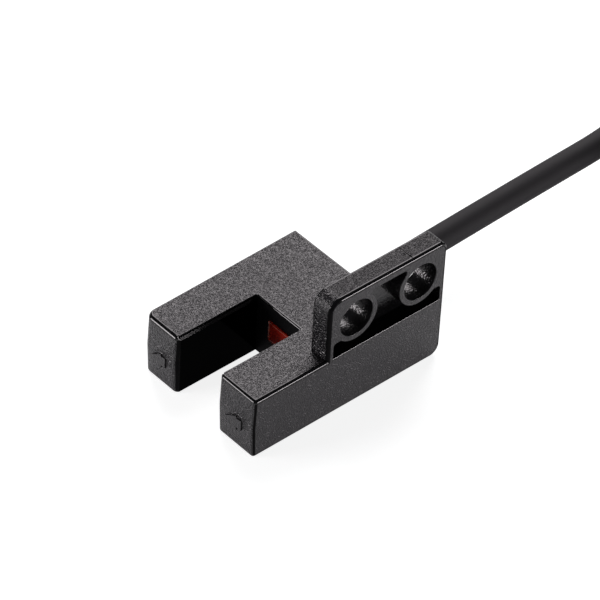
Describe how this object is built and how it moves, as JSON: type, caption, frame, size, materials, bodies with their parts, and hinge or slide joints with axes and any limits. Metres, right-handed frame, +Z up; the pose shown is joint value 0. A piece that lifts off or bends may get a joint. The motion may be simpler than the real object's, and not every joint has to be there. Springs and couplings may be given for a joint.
{
  "type": "fork sensor",
  "caption": "Slim U-shaped light barrier that sees what passes through its slot, with a flat two-hole mounting lug and a free cable.",
  "frame": {"origin": "middle of the sensor's footprint, without its cable, on the surface it stands on", "axes": "+X from the fork's tips towards the cable, +Y from the side with the lug to the far prong, +Z up"},
  "size_m": [0.1008, 0.0222, 0.0118],
  "materials": {
    "case_plastic": "fine moulded grain",
    "cover_plastic": "fine moulded grain",
    "window_plastic": "polished, dark to the eye and clear to infrared",
    "red_plastic": "clear red, polished",
    "plate_steel": "blackened sheet",
    "lens_resin": "water-clear blue tint",
    "dark_resin": "dark filter resin",
    "tinned_metal": "bright tinned",
    "board_laminate": "green solder mask",
    "lamp_resin": "milky",
    "chip_resin": "moulded",
    "resistor_ceramic": "glazed top",
    "capacitor_ceramic": "fired",
    "solder_metal": "bright solder",
    "clamp_brass": "crimped",
    "seal_resin": "cast resin",
    "cable_jacket": "smooth soft vinyl",
    "tie_plastic": "smooth strap",
    "brown_core": "smooth vinyl",
    "blue_core": "smooth vinyl",
    "black_core": "smooth vinyl",
    "white_core": "smooth vinyl"
  },
  "bodies": {
    "root": {"case": "case_plastic", "bottom_cover": "cover_plastic", "emitter_window": "window_plastic", "receiver_window": "window_plastic", "indicator_window": "red_plastic", "emitter_slit_plate": "plate_steel", "receiver_slit_plate": "plate_steel", "emitter": "lens_resin", "receiver": "dark_resin", "emitter_leads": "tinned_metal", "receiver_leads": "tinned_metal", "circuit_board": "board_laminate", "indicator_lamp": "lamp_resin", "amplifier_chip": "chip_resin", "output_transistor": "chip_resin", "resistors": "resistor_ceramic", "capacitors": "capacitor_ceramic", "lead_solder": "solder_metal", "wire_solder": "solder_metal", "cable_clamp": "clamp_brass", "entry_seal": "seal_resin", "inner_core_brown": "brown_core", "inner_core_blue": "blue_core", "inner_core_black": "black_core", "inner_core_white": "white_core", "cable": "cable_jacket", "cable_hank": "cable_jacket", "cable_tail": "cable_jacket", "hank_tie": "tie_plastic", "core_brown": "brown_core", "core_blue": "blue_core", "core_black": "black_core", "core_white": "white_core", "core_tip_brown": "tinned_metal", "core_tip_blue": "tinned_metal", "core_tip_black": "tinned_metal", "core_tip_white": "tinned_metal"}
  },
  "joints": []
}
